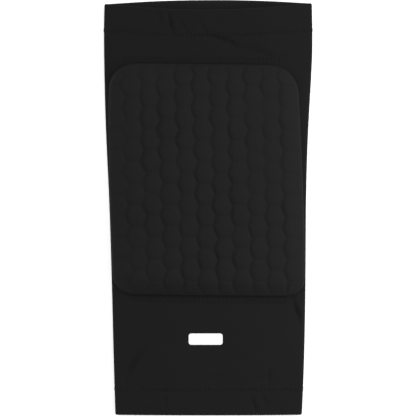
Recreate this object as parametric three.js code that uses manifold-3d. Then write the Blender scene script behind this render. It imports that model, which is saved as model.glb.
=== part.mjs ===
// Padded knee sleeve, lying on its back as it is laid out flat: a knitted tube with a turned-in
// hem at each opening, a foam pad of honeycomb cells on the front, and a plain transfer bar.
// Millimetres. +Z is up from the surface that it lies on, +Y runs along the leg to the thigh
// opening, and +X is to the right seen from above. The origin is on that surface, at the middle.
import * as THREE from "three";
import { ParametricGeometry } from "three/addons/geometries/ParametricGeometry.js";
import { mergeGeometries, mergeVertices } from "three/addons/utils/BufferGeometryUtils.js";
import Module from "manifold-3d";

const wasm = await Module();
wasm.setup();

// Knitted tube
const CALF_RIM_Y = -165.8;
const THIGH_RIM_Y = 162.4; // at the side folds
const THIGH_BACK_RISE = 3.4; // the back of the thigh rim stands above its ends
const THIGH_FRONT_DIP = 3.0; // the front of the thigh rim hangs below its ends
const RIM_BEND_LENGTH = 60; // over this length the rim's bend dies out
const WALL = 1.4;
const FOLD_RADIUS = 3.2; // outside radius of the soft fold down each side
const CROWN_POWER = 2.3; // 2 makes the front a parabola across the leg, more makes it flatter
const HEM_DEPTH = 21;
const HEM_WALL = 1.0;
const GAP = 0.3; // between pieces that lie on each other

// A row for each section across the leg, from the calf to the thigh: its place, half of its width,
// how far its middle lies off the centre line, and how high the front stands at the middle.
const SECTIONS = [
  { y: CALF_RIM_Y, halfWidth: 74.6, shift: 0.4, height: 12.6 },
  { y: -122, halfWidth: 76.1, shift: 0.6, height: 12.8 },
  { y: -58, halfWidth: 77.5, shift: 0.4, height: 15.0 },
  { y: 6, halfWidth: 78.7, shift: -0.4, height: 16.2 },
  { y: 54, halfWidth: 80.5, shift: -0.9, height: 16.2 },
  { y: 86, halfWidth: 81.9, shift: -0.6, height: 15.6 },
  { y: 118, halfWidth: 83.1, shift: 0, height: 15.0 },
  { y: 142, halfWidth: 83.3, shift: 0, height: 16.6 },
  { y: THIGH_RIM_Y, halfWidth: 82.9, shift: 0, height: 20.0 },
];

// A row for each crease in the front: its middle, its length, its half width, its depth, and the
// angle of its run from +X.
const CREASES = [
  { x: -30, y: 147, length: 18, spread: 3.5, depth: 0.9, angle: -56 },
  { x: 30, y: 128, length: 62, spread: 7.0, depth: 1.2, angle: -20 },
  { x: -58, y: -122, length: 30, spread: 4.5, depth: 1.6, angle: 61 },
  { x: 68, y: -86, length: 26, spread: 4.0, depth: 1.3, angle: -73 },
  { x: 44, y: -136, length: 20, spread: 4.5, depth: 0.8, angle: 48 },
  { x: 38, y: -155, length: 22, spread: 4.0, depth: 0.8, angle: -80 },
  { x: 6, y: -127, length: 20, spread: 4.5, depth: 0.6, angle: 40 },
];

// Foam pad
const PAD_WIDTH = 152;
const PAD_LENGTH = 187;
const PAD_CORNER = 17;
const PAD_BOW = 1.2; // the long sides bow out by this much
const PAD_MIDDLE = new THREE.Vector2(-1.6, 22.4);
const PAD_LEAN = THREE.MathUtils.degToRad(1.5); // its thigh end leans to -X
const PAD_GAP = 0.5;
const PAD_EDGE_HEIGHT = 5.2; // where the rolled edge ends
const PAD_EDGE_ROLL = 3.5;
const CELL_PITCH_X = 13.75; // between columns of cells
const CELL_PITCH_Y = 17.1; // between cells of a column
const CELL_HEIGHT = 8.8;
const CELL_CROWN = 0.4; // the middle of a cell stands above its rim
const CELL_SLOPE = 2.2; // width of the slope from a cell's rim to its groove
const GROOVE_HEIGHT = 5.9;

// Transfer bar
const BAR_WIDTH = 27;
const BAR_LENGTH = 9;
const BAR_CORNER = 2;
const BAR_THICKNESS = 0.4;
const BAR_MIDDLE = new THREE.Vector2(-2.0, -105);

// Mesh steps
const BACK_STEPS = 6;
const FRONT_STEPS = 22;
const FOLD_STEPS = 4;
const PAD_EDGE_STEPS = 80;
const BAR_EDGE_STEPS = 36;
const ROLL_STEPS = 2;
const UNDERSIDE_STEPS = 7; // rings of the pad's underside

// A row for each stretch of the tube, from the calf to the thigh: where it ends, and its steps.
const STRETCHES = [
  { end: CALF_RIM_Y + HEM_DEPTH, steps: 4 },
  { end: PAD_MIDDLE.y - PAD_LENGTH / 2, steps: 12 },
  { end: PAD_MIDDLE.y + PAD_LENGTH / 2, steps: 9 },
  { end: THIGH_RIM_Y - HEM_DEPTH, steps: 4 },
  { end: THIGH_RIM_Y, steps: 4 },
];

// The form that the tube lies in

const sections = new THREE.CubicInterpolant(
  SECTIONS.map((s) => s.y),
  SECTIONS.flatMap((s) => [s.halfWidth, s.shift, s.height]),
  3,
);

// Half the width between the side folds, the middle, and the front's height, at a place along it.
function sectionAt(y) {
  const [halfWidth, shift, height] = sections.evaluate(y);
  return { flat: halfWidth - FOLD_RADIUS, shift, height };
}

function creaseDepth(x, y) {
  let depth = 0;
  for (const crease of CREASES) {
    const angle = THREE.MathUtils.degToRad(-crease.angle);
    const from = new THREE.Vector2(x - crease.x, y - crease.y);
    const { x: along, y: across } = from.rotateAround(new THREE.Vector2(), angle);
    if (Math.abs(along) > crease.length / 2) continue;
    const fade = Math.cos((Math.PI * along) / crease.length) ** 2;
    depth += crease.depth * fade * Math.exp(-((across / crease.spread) ** 2));
  }
  return depth;
}

// Height of the front's outer face: a low crown between the two side folds, with its creases.
function frontHeight(x, y) {
  const { flat, shift, height } = sectionAt(y);
  const out = Math.abs(x - shift);
  if (out >= flat) {
    const over = Math.min(out - flat, FOLD_RADIUS);
    return FOLD_RADIUS + Math.sqrt(FOLD_RADIUS ** 2 - over ** 2);
  }
  const crown = 1 - (out / flat) ** CROWN_POWER;
  const creased = Math.min(1, 4 * crown) * creaseDepth(x, y);
  return 2 * FOLD_RADIUS + (height - 2 * FOLD_RADIUS) * crown - creased;
}

// A point of the plane moved on to the front, at a height above it.
function onFront(point, height) {
  return new THREE.Vector3(point.x, point.y, frontHeight(point.x, point.y) + height);
}

// Closed meshes

// A geometry with its equal points merged and its empty triangles left out.
function welded(geometry) {
  for (const name of ["normal", "uv"]) geometry.deleteAttribute(name);
  const merged = mergeVertices(geometry, 1e-3);
  const corners = merged.index.array;
  const kept = [];
  for (let i = 0; i < corners.length; i += 3) {
    const [a, b, c] = corners.subarray(i, i + 3);
    if (a !== b && b !== c && c !== a) kept.push(a, b, c);
  }
  merged.setIndex(kept);
  merged.computeVertexNormals();
  return merged;
}

function toSolid(geometry) {
  const mesh = welded(geometry);
  return new wasm.Manifold(
    new wasm.Mesh({
      numProp: 3,
      vertProperties: mesh.attributes.position.array,
      triVerts: new Uint32Array(mesh.index.array),
    }),
  );
}

function toGeometry(solid) {
  const { vertProperties, triVerts } = solid.getMesh();
  const geometry = new THREE.BufferGeometry();
  geometry.setAttribute("position", new THREE.BufferAttribute(vertProperties, 3));
  geometry.setIndex(new THREE.BufferAttribute(triVerts, 1));
  geometry.computeVertexNormals();
  return geometry;
}

// Knitted tube and hems

const stepsOf = (count) => Array.from({ length: count }, (_, i) => i / count);

// Once round a section: along the back, up the right fold, across the front, down the left fold.
const TURN = [
  ...stepsOf(BACK_STEPS).map((t) => ({ wall: "back", t })),
  ...stepsOf(FOLD_STEPS).map((t) => ({ wall: "right", t })),
  ...stepsOf(FRONT_STEPS).map((t) => ({ wall: "front", t })),
  ...stepsOf(FOLD_STEPS).map((t) => ({ wall: "left", t })),
];

// Places of the sections along the tube, from the calf to the thigh.
const ROWS = [CALF_RIM_Y];
for (const { end, steps } of STRETCHES) {
  const start = ROWS.at(-1);
  for (let i = 1; i <= steps; i++) ROWS.push(start + ((end - start) * i) / steps);
}

// How far the thigh rim's bend moves a point of the front or the back along the leg.
function rimBend(wall, across, y) {
  const reach = { back: THIGH_BACK_RISE, front: -THIGH_FRONT_DIP }[wall] ?? 0;
  const near = THREE.MathUtils.smoothstep(y, THIGH_RIM_Y - RIM_BEND_LENGTH, THIGH_RIM_Y);
  return reach * near * (1 - across ** 2);
}

// A point of the wall, set in from the tube's outer face by inset.
function wallPoint({ wall, t }, y, inset, target) {
  const { flat, shift } = sectionAt(y);
  if (wall === "right" || wall === "left") {
    const side = wall === "right" ? 1 : -1;
    const angle = side * Math.PI * (t - 0.5);
    const radius = FOLD_RADIUS - inset;
    const out = flat + radius * Math.cos(angle);
    return target.set(shift + side * out, y, FOLD_RADIUS + radius * Math.sin(angle));
  }
  const across = wall === "back" ? 2 * t - 1 : 1 - 2 * t;
  const x = shift + across * flat;
  const z = wall === "back" ? inset : frontHeight(x, y) - inset;
  return target.set(x, y + rimBend(wall, across, y), z);
}

// A tube's wall between two insets: up its inner face and back down its outer face.
function tubeWall(rows, outerInset, innerInset) {
  const lines = [
    ...rows.map((y) => ({ y, inset: innerInset })),
    ...rows.toReversed().map((y) => ({ y, inset: outerInset })),
  ];
  const surface = (u, v, target) => {
    const stop = TURN[Math.round(u * TURN.length) % TURN.length];
    const { y, inset } = lines[Math.round(v * lines.length) % lines.length];
    wallPoint(stop, y, inset, target);
  };
  return welded(new ParametricGeometry(surface, TURN.length, lines.length));
}

function hemWall(isInHem) {
  return tubeWall(ROWS.filter(isInHem), WALL + GAP, WALL + GAP + HEM_WALL);
}

// Foam pad and transfer bar

// A rectangle with round corners about the middle, as points at even steps.
function roundedRectangle(width, length, corner, steps) {
  const x = width / 2 - corner;
  const y = length / 2 - corner;
  const outline = new THREE.Path();
  outline.absarc(x, y, corner, 0, Math.PI / 2);
  outline.absarc(-x, y, corner, Math.PI / 2, Math.PI);
  outline.absarc(-x, -y, corner, Math.PI, 1.5 * Math.PI);
  outline.absarc(x, -y, corner, 1.5 * Math.PI, 2 * Math.PI);
  outline.closePath();
  return outline.getSpacedPoints(steps);
}

// A closed solid on the front: a ring of points for each row of the profile, at that row's height
// above the sleeve, closed at both ends by a fan to the middle.
function drapedSolid(profile, ringOf, middle) {
  const rows = [
    [onFront(middle, profile[0].height)],
    ...profile.map((row) => ringOf(row).map((point) => onFront(point, row.height))),
    [onFront(middle, profile.at(-1).height)],
  ];
  const around = rows[1].length - 1;
  const surface = (u, v, target) => {
    const row = rows[Math.round(v * (rows.length - 1))];
    target.copy(row[Math.round(u * around) % row.length]);
  };
  return new ParametricGeometry(surface, around, rows.length - 1);
}

// The pad's own plane, laid on the sleeve.
function onPad(point) {
  return point.clone().rotateAround(new THREE.Vector2(), PAD_LEAN).add(PAD_MIDDLE);
}

// The pad's outline, set in by inset and then shrunk to its middle by share.
function padRing({ inset, share = 1 }) {
  const width = PAD_WIDTH - 2 * inset;
  const length = PAD_LENGTH - 2 * inset;
  return roundedRectangle(width, length, PAD_CORNER - inset, PAD_EDGE_STEPS).map((point) => {
    const bowed = 1 + ((2 * PAD_BOW) / width) * (1 - ((2 * point.y) / length) ** 2);
    return onPad(new THREE.Vector2(point.x * bowed, point.y).multiplyScalar(share));
  });
}

// What the cells are cut to: the pad's underside, and its outline with a rolled edge, which goes on
// to far above the cells.
function padBlank() {
  const rise = CELL_HEIGHT + CELL_CROWN;
  const underside = stepsOf(UNDERSIDE_STEPS).map((t) => {
    return { inset: 0, share: t + 1 / UNDERSIDE_STEPS, height: PAD_GAP };
  });
  const roll = Array.from({ length: ROLL_STEPS + 1 }, (_, i) => {
    const angle = (Math.PI / 2) * (i / ROLL_STEPS);
    return {
      inset: PAD_EDGE_ROLL * (1 - Math.cos(angle)),
      height: PAD_EDGE_HEIGHT - PAD_EDGE_ROLL * (1 - Math.sin(angle)),
    };
  });
  const inner = PAD_EDGE_ROLL + CELL_SLOPE;
  const profile = [
    ...underside,
    ...roll,
    { inset: inner, height: rise },
    { inset: inner, height: 4 * rise },
  ];
  return toSolid(drapedSolid(profile, padRing, PAD_MIDDLE));
}

// The top of the foam: one sheet of six-sided cells that share the grooves between them, wider than
// the pad, laid on the sleeve.
function cellSheet() {
  const radius = (CELL_PITCH_X * 2) / 3;
  const profile = [
    new THREE.Vector2(radius, GROOVE_HEIGHT),
    new THREE.Vector2(radius - CELL_SLOPE, CELL_HEIGHT),
    new THREE.Vector2(0, CELL_HEIGHT + CELL_CROWN),
  ];
  const cell = new THREE.LatheGeometry(profile, 6, Math.PI / 2);
  cell.rotateX(Math.PI / 2);
  cell.scale(1, CELL_PITCH_Y / (radius * Math.sqrt(3)), 1);
  const columns = Math.ceil(PAD_WIDTH / CELL_PITCH_X / 2);
  const rows = Math.ceil(PAD_LENGTH / CELL_PITCH_Y / 2);
  const cells = [];
  for (let column = -columns; column <= columns; column++) {
    const shift = column % 2 === 0 ? 0.5 : 0;
    for (let row = -rows; row <= rows; row++) {
      cells.push(cell.clone().translate(column * CELL_PITCH_X, (row + shift) * CELL_PITCH_Y, 0));
    }
  }
  const sheet = welded(mergeGeometries(cells));
  const corners = sheet.attributes.position;
  for (let i = 0; i < corners.count; i++) {
    const place = onPad(new THREE.Vector2(corners.getX(i), corners.getY(i)));
    const { x, y, z } = onFront(place, corners.getZ(i));
    corners.setXYZ(i, x, y, z);
  }
  return sheet;
}

// A closed geometry under an open sheet: the sheet, its copy lower down, and walls at its border.
function slabUnder(sheet, depth) {
  const top = [...sheet.attributes.position.array];
  const bottom = top.map((value, i) => (i % 3 === 2 ? value - depth : value));
  const below = top.length / 3;
  const faces = [...sheet.index.array];
  const sides = new Set();
  for (let i = 0; i < sheet.index.count; i += 3) {
    const [a, b, c] = faces.slice(i, i + 3);
    for (const side of [`${a} ${b}`, `${b} ${c}`, `${c} ${a}`]) sides.add(side);
    faces.push(a + below, c + below, b + below);
  }
  for (const side of sides) {
    const [a, b] = side.split(" ").map(Number);
    if (sides.has(`${b} ${a}`)) continue;
    faces.push(b, a, a + below, b, a + below, b + below);
  }
  const slab = new THREE.BufferGeometry();
  slab.setAttribute("position", new THREE.Float32BufferAttribute([...top, ...bottom], 3));
  slab.setIndex(faces);
  return slab;
}

function kneePad() {
  const foam = toSolid(slabUnder(cellSheet(), 4 * CELL_HEIGHT));
  return toGeometry(foam.intersect(padBlank()));
}

function transferBar() {
  const outline = roundedRectangle(BAR_WIDTH, BAR_LENGTH, BAR_CORNER, BAR_EDGE_STEPS);
  const ring = () => outline.map((point) => point.clone().add(BAR_MIDDLE));
  const profile = [{ height: GAP }, { height: GAP + BAR_THICKNESS }];
  return welded(drapedSolid(profile, ring, BAR_MIDDLE));
}

// Assembly

const knit = new THREE.MeshStandardMaterial({ color: 0x1e1e1f, roughness: 0.85, metalness: 0 });
const padCover = new THREE.MeshStandardMaterial({ color: 0x222223, roughness: 0.8, metalness: 0 });
const transfer = new THREE.MeshStandardMaterial({ color: 0xf0f0ee, roughness: 0.55, metalness: 0 });

const pieces = [
  { name: "sleeve", geometry: tubeWall(ROWS, 0, WALL), material: knit },
  { name: "thigh_hem", geometry: hemWall((y) => y >= THIGH_RIM_Y - HEM_DEPTH), material: knit },
  { name: "calf_hem", geometry: hemWall((y) => y <= CALF_RIM_Y + HEM_DEPTH), material: knit },
  { name: "knee_pad", geometry: kneePad(), material: padCover },
  { name: "transfer_bar", geometry: transferBar(), material: transfer },
];

const kneeSleeve = new THREE.Group();
for (const { name, geometry, material } of pieces) {
  const mesh = new THREE.Mesh(geometry, material);
  mesh.name = name;
  kneeSleeve.add(mesh);
}

export default kneeSleeve;
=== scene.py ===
"""Padded knee sleeve: a knitted tube lying flat on its back, with turned-in hems, a honeycomb foam pad
under a stretched cover, rows of flat-lock stitches and a plain transfer bar.

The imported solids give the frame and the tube's form, and this file dresses them. Metres, +Z up,
+Y along the leg to the thigh opening, +X to the right seen from above.
"""

import math
from collections import namedtuple

import bmesh
import bpy
from bpy.props import FloatProperty, FloatVectorProperty, PointerProperty
from mathutils import Matrix, Vector, noise
from mathutils.bvhtree import BVHTree


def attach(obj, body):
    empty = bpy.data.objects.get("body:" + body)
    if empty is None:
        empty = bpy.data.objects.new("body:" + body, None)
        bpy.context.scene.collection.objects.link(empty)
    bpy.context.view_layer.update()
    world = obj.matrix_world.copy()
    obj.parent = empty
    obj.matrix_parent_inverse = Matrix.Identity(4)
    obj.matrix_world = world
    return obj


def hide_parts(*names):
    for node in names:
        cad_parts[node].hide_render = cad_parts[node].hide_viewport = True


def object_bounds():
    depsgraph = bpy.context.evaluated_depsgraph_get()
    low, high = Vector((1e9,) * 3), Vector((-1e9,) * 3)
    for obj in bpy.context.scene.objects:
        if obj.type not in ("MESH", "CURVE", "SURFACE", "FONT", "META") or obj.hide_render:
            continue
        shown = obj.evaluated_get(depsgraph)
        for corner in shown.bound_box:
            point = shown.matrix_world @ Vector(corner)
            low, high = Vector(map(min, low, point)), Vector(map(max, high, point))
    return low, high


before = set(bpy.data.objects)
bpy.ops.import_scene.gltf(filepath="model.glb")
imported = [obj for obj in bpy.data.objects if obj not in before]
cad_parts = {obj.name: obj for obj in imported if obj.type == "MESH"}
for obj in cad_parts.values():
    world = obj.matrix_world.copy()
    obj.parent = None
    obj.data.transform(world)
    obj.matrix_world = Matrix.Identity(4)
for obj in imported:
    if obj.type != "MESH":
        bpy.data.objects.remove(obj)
CAD_BOX = [list(corner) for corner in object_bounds()]

bl_info = {
    "name": "Padded Knee Sleeve",
    "version": (1, 0, 0),
    "blender": (4, 5, 0),
    "location": "View3D > Sidebar > Knee Sleeve",
    "description": "Builds a padded knee sleeve around its packed solids",
    "category": "Add Mesh",
}

MM = 0.001
WELD = 0.01 * MM  # points that are closer than this are one point

# The tube, in the form that its solid has
CALF_END = CAD_BOX[0][1]
HALF_WIDTH = CAD_BOX[1][0]
SIDE_FOLD_HEIGHT = 6.4 * MM  # the folds down the sides are this high
THIGH_RIM = 162.4 * MM  # at the side folds: the back rises over it, the front dips
RIM_TILT = 0.7 * MM  # the thigh rim rises this far from the middle to the right side fold
RIM_TILT_LENGTH = 60 * MM  # over this length below the rim the rise fades
RIM_FACING = 0.7  # faces that face along the leg by more than this are a rim
RIM_ROUNDING = 0.9 * MM
HEM_STEP = 0.8 * MM  # the step from the wall to the turned-in cloth is this long
HEM_FROM = 0.5 * MM  # points further than this past the start of the step belong to the hem

# The front of the tube
FRONT_SHARES = (0.35, 0.95)  # of the side folds' height: its forms start at one and are whole at the other
FRONT_FACING = 0.5  # faces that face up by more than this are the front
FRONT_LEAST = 0.7 * SIDE_FOLD_HEIGHT
MOUTH_LENGTH = 55 * MM  # the thigh opening dips and sags over this length
WAVES = (28, 20)  # scale of the soft waves, across and along the leg
WAVE_LAYER = 3.7  # height in the noise from which the waves are taken
RIDGE_OFF = 2.2  # the ridge beside a fold is this far off it, in half widths of the fold
RIDGE_SPREAD = 2.0  # and has this half width

# The rows of stitches and the cloth beside them
THIGH_ROW_BEND = -4.0 * MM
THIGH_ROW_REACH = 80 * MM
CALF_ROW_MIDDLE = 0.5 * MM
CALF_ROW_REACH = 72 * MM
PAD_ROW_PAST = 7 * MM  # the rows beside the pad run this far past the start of its top corners
GATHER_REACH = 15 * MM  # a row doesn't stir the cloth that is further off than this
GATHER_FADE = 6 * MM  # past the ends of a row its gathers fade over this length
GATHER_PITCH = 4.5 * MM
GATHER_SPREAD = 5 * MM
DENT_SPREAD = 3.6 * MM
STITCH_NARROWING = 0.35  # share of its width that a stitch loses at its ends
STITCH_FLATTENING = 0.7  # share of its height that a stitch keeps
STITCH_LIFT = 0.1  # of the thread: how far a stitch lies above the cloth
STITCH_DIP = 0.5  # of the thread: how far its ends go down
FOLD_STITCH_ANGLES = (-54, -18, 18, 54)  # stitches round a side fold, in degrees from level
FOLD_RAY = 50 * MM  # the side fold is looked for from this far out

# The pad
OUTLINE_POINTS = (-40 * MM, 0, 40 * MM)  # points along each of its long sides
CORNER_STEPS = 7
EDGE_WELD = 1.2 * MM  # points of its cut edge that are closer than this join
SCRAP_AREA = 48 * MM * MM  # smaller pieces of cells at the pad's edge join the next cell
END_ROOM = 4 * MM  # a groove runs straight for this far from its end, and so does the edge beside it
LEAST_ROOM = 3 * MM  # where the edge turns, its points keep this far from the ends of the grooves
STRAIGHT_TURN = math.radians(6)  # an edge that turns less than this at a point is straight there
STRAY_SCALE = 70  # of the noise by which the cells stray
STRAY_LAYERS = (0.4, 7.7)  # heights in the noise from which the cells' stray in x and in y is taken
NECK_SLOPE = 0.2  # sides of a cell that rise by less than this along the leg are necks
NECK_SHARE = 0.6  # places of a neck's points, as a share of the way from its ends to its thirds
GROOVE_DEEPEST = -0.09  # place of the deepest grooves off the middle, as a share of the width
GROOVE_FADE = (0.41, 0.05)  # shares of the width off it where grooves are faint, and where deep
GROOVE_LEAST = 0.5  # share of the cells' rise that a faint groove has
GROOVE_MORE = 0.34  # and what a deep one has more
GROOVE_UNEVEN = 0.7
GROOVE_SCALE = 45  # of the noise that makes the grooves uneven
GROOVE_LAYER = 1.3  # height in the noise from which it is taken
PAD_LIFT = 0.3 * MM  # the underside is this far above the sleeve
FREE_ABOVE = 0.9  # share of the cells' rise above which the simulation may move the cover
SWELL_FRAMES = 20
SWELL_STEPS = 6
SWELL_MASS = 0.002  # of a point of the cover
COVER_STIFFNESS = 12
COVER_BENDING = 0.4

# The transfer
TRANSFER_GRID = 1.5 * MM  # the transfer bends with the cloth at this spacing
TRANSFER_ROUNDING = 0.12 * MM
TRANSFER_SINK = 0.1 * MM  # its underside is this far inside the cloth
TRANSFER_WEAR = 0.35  # share of the cloth's patches that shows on it

# The knit's finish, with painted shade and painted light in its colour
LOOP_SLANT = 0.6  # of a row, by which a loop rises from the middle of its column to its side
LOOP_DIP = 0.25  # of the height, by which a column rises and falls
LOOP_PAINTED_SHADES = (0.8, 0.35)  # painted shade between the loops, and the painted light added on top of them
PATCHES = (22, 3)  # scale and detail of the soft patches
FLECKS = (900, 2)  # and of the fine flecks
PATCH_SHADE = 0.16
PAINTED_SHADE_FROM = 85 * MM  # the painted shade that darkens the knit begins here, on its way to the thigh
PAINTED_SHADE_TO = 120 * MM
ROUGHNESS = (0.76, 0.14)  # least, and what the patches add
INNER_PAINTED_LIGHT = 0.55  # the inner wall, the reverse of the knit, is lighter than the face by this share: partly its own colour, partly painted light that lifts the shade inside the tube
CLOTH_SHINE = 0.05
CLOTH_SHEEN = (0.01, 0.45)  # weight and roughness
COVER_STRETCH = 1.15  # size of the loops of the pad's cover, as a multiple of the tube's
TWIST = (0.4 * MM, 0.3 * MM)  # width and length of a turn of the thread's strands
KNIT_RELIEF = 0.5
COVER_RELIEF = 0.45
THREAD_RELIEF = 0.3
TRANSFER_RELIEF = 0.25
LOOP_HEIGHT = 0.15 * MM
TRANSFER_LOOP_HEIGHT = 0.1 * MM

# The stage
FLOOR_REACH = 3
LAMP_SIZE = (1.2, 0.5)
LAMP_PLACE = Vector((0.62, 0.1, 0.47))  # of the right one: the left one mirrors it
SENSOR_WIDTH = 36
CAMERA_OFF = Vector((-0.1 * MM, -0.6 * MM))

StitchRow = namedtuple("StitchRow", "y middle reach bend tilt all_round")

# A row for each fold in the front: the place of its middle, the angle of its run from +X, its
# length, its half width, its depth and the height of the ridge on its left, in millimetres and degrees.
FRONT_FOLDS = (
    (-30.0, 148.5, -79, 24, 1.3, 1.50, 0.50),
    (-39.0, 152.0, -87, 18, 1.3, 0.60, 0.20),
    (-19.0, 145.0, -48, 16, 1.4, 0.55, 0.25),
    (-3.5, 143.5, -62, 20, 1.4, 0.60, 0.25),
    (13.0, 133.0, -20, 44, 2.3, 1.20, 0.70),
    (43.0, 122.5, -18, 50, 2.8, 0.75, 0.70),
    (19.5, 130.5, -60, 14, 1.3, 0.60, 0.20),
    (-10.0, 126.0, 2, 170, 8.0, 0.80, 0.00),
    (-60.4, -126.0, 58, 44, 2.2, 2.00, 0.70),
    (69.8, -82.0, -74, 34, 1.8, 1.50, 0.60),
    (44.0, -135.0, 45, 20, 1.6, 0.70, 0.30),
    (48.0, -135.5, 84, 16, 1.4, 0.90, 0.30),
    (36.4, -158.3, -72, 22, 1.6, 1.10, 0.40),
    (44.0, -152.0, -66, 16, 1.4, 0.50, 0.20),
    (6.0, -135.0, 40, 22, 2.2, 0.70, 0.30),
    (28.0, -133.5, 52, 14, 1.6, 0.40, 0.20),
    (-34.5, -153.5, -88, 18, 1.4, 0.55, 0.20),
)

# The pad's rolled edge, from its top outward: how far each step goes out, and how far down.
EDGE_ROLL = ((0.4 * MM, 0.35 * MM), (0.2 * MM, 1.0 * MM), (0.1 * MM, 1.65 * MM))

# The round top of a cell, from its rim inward: the share that each step keeps, and how far it goes up.
CELL_CROWN = ((0.86, 0.45 * MM), (0.68, 0.15 * MM))


def length_setting(name, description, millimetres):
    """A length that a user would change."""
    return FloatProperty(name=name, description=description, unit="LENGTH", default=millimetres * MM)


def share_setting(name, description, share):
    """A share that a user would change."""
    return FloatProperty(name=name, description=description, subtype="FACTOR", default=share)


def angle_setting(name, description, degrees):
    """An angle that a user would change."""
    return FloatProperty(
        name=name, description=description, subtype="ANGLE", default=math.radians(degrees)
    )


def color_setting(name, description, color):
    """A colour that a user would change."""
    return FloatVectorProperty(
        name=name, description=description, subtype="COLOR", size=3, min=0, max=1, default=color
    )


def place_setting(name, description, x, y):
    """A place or a shift in the plane that a user would change, in millimetres."""
    return FloatVectorProperty(
        name=name, description=description, subtype="TRANSLATION", size=2, default=(x * MM, y * MM)
    )


class KnitSettings(bpy.types.PropertyGroup):
    """The knitted tube."""

    color: color_setting("Knit Colour", "Colour of the knit", (0.0097, 0.0097, 0.0101))
    # Painted shade: the knit's colour is darker towards the thigh.
    thigh_painted_shade: share_setting(
        "Thigh Painted Shade", "Share of the colour that is left at the thigh, where the knit lies loose", 0.88
    )
    wale_pitch: length_setting("Wale Pitch", "Distance between two columns of loops", 0.75)
    course_pitch: length_setting("Course Pitch", "Distance between two rows of loops", 0.6)
    hem_depth: length_setting("Hem Depth", "How far each edge is turned in", 21)
    hem_thickness: length_setting("Hem Thickness", "What the turned-in cloth adds to the wall", 1.3)
    mouth_dip: length_setting(
        "Mouth Dip", "How far the front of the thigh opening hangs below that of the solid", 2.6
    )
    mouth_sag: length_setting(
        "Mouth Sag", "How far the front of the thigh opening sinks to the back", 2.5
    )
    unevenness: length_setting("Unevenness", "Height of the soft waves in the front", 0.3)
    pucker: length_setting("Pucker", "Height of the small gathers along a row of stitches", 0.16)
    stitch_dent: length_setting(
        "Stitch Dent", "Depth of the dent that a row of stitches presses into the cloth", 0.2
    )


class PadSettings(bpy.types.PropertyGroup):
    """The foam pad and its cover."""

    color: color_setting("Cover Colour", "Colour of the pad's cover", (0.0111, 0.0111, 0.0116))
    middle: place_setting("Middle", "Place of the pad's middle", -1.7, 21.9)
    lean: angle_setting("Lean", "Lean of the pad's columns to the left", 1.7)
    droop: angle_setting("Droop", "Fall of the pad's rows to the right", 0.7)
    cell_shift: place_setting("Cell Shift", "How far the cells lie off the pad's middle", -1.5, -3.2)
    cell_turn: angle_setting("Cell Turn", "Turn of the cells against the pad's edges", 0.55)
    width: length_setting("Width", "Width of the pad across the leg", 152)
    length: length_setting("Length", "Length of the pad along the leg", 185.5)
    top_corner: length_setting("Top Corner", "Radius of the pad's corners at the thigh end", 21)
    bottom_corner: length_setting("Bottom Corner", "Radius of the pad's corners at the calf end", 15)
    taper: length_setting("Taper", "How much narrower the pad is at the thigh end", 1.4)
    bow: length_setting("Bow", "How far the long sides bow out", 1.2)
    end_bow: length_setting("End Bow", "How far the two ends bow out", 1.0)
    column_pitch: length_setting("Column Pitch", "Distance between two columns of cells", 13.75)
    row_pitch: length_setting("Row Pitch", "Distance between two cells of a column", 17.2)
    swing: share_setting(
        "Swing", "How far the grooves swing from straight lines, as a share of an even honeycomb", 0.8
    )
    tuck: length_setting("Tuck", "How far the edge is drawn in under the pad", 1.2)
    cell_stray: length_setting(
        "Cell Stray", "How far the corners of the cells stray from an even lattice", 1.3
    )
    groove_height: length_setting("Groove Height", "Height of the grooves above the sleeve", 5.9)
    groove_width: length_setting("Groove Width", "Width of the grooves between the columns", 2.7)
    neck_width: length_setting("Neck Width", "Width of the dips between the cells of a column", 1.2)
    cell_rise: length_setting("Cell Rise", "Height of the cells above the grooves", 1.7)
    neck_drop: length_setting(
        "Neck Drop", "How far the necks between the cells of a column lie below the cells", -0.2
    )
    edge_thinning: share_setting(
        "Edge Thinning", "Share of its thickness that the pad loses at its sides", 0.28
    )
    end_thinning: share_setting(
        "End Thinning", "The same share at the two ends, which the rows of stitches hold down", 0.52
    )
    edge_slope: length_setting("Edge Slope", "How far from its edge the pad grows thicker", 14)
    pressure: FloatProperty(
        name="Pressure",
        description="Pressure of the foam on the cover in the simulation",
        default=1600,
    )
    most_swell: length_setting(
        "Most Swell", "How far the simulation may move a point of the cover", 0.5
    )


class StitchSettings(bpy.types.PropertyGroup):
    """The rows of flat-lock stitches."""

    color: color_setting("Thread Colour", "Colour of the thread", (0.0128, 0.0128, 0.0132))
    length: length_setting("Stitch Length", "Length of a stitch across its row", 4.6)
    pitch: length_setting("Stitch Pitch", "Distance between two stitches of a row", 2.1)
    thread: length_setting("Thread", "Thickness of the thread", 0.95)
    slant: angle_setting("Slant", "Lean of the stitches, to one side and the other in turn", 2)
    pad_distance: length_setting(
        "Distance from Pad", "From the pad's edge to the middle of the rows above and below it", 3.9
    )


class TransferSettings(bpy.types.PropertyGroup):
    """The plain transfer bar."""

    color: color_setting("Transfer Colour", "Colour of the transfer", (0.86, 0.86, 0.85))
    middle: place_setting("Middle", "Place of the bar's middle", -2.0, -105)
    size: FloatVectorProperty(
        name="Size",
        description="Width and length of the bar",
        subtype="XYZ_LENGTH",
        size=2,
        default=(27 * MM, 9 * MM),
    )
    corner: length_setting("Corner", "Radius of the bar's corners", 2)
    thickness: length_setting("Thickness", "Thickness of the transfer", 0.35)


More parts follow.
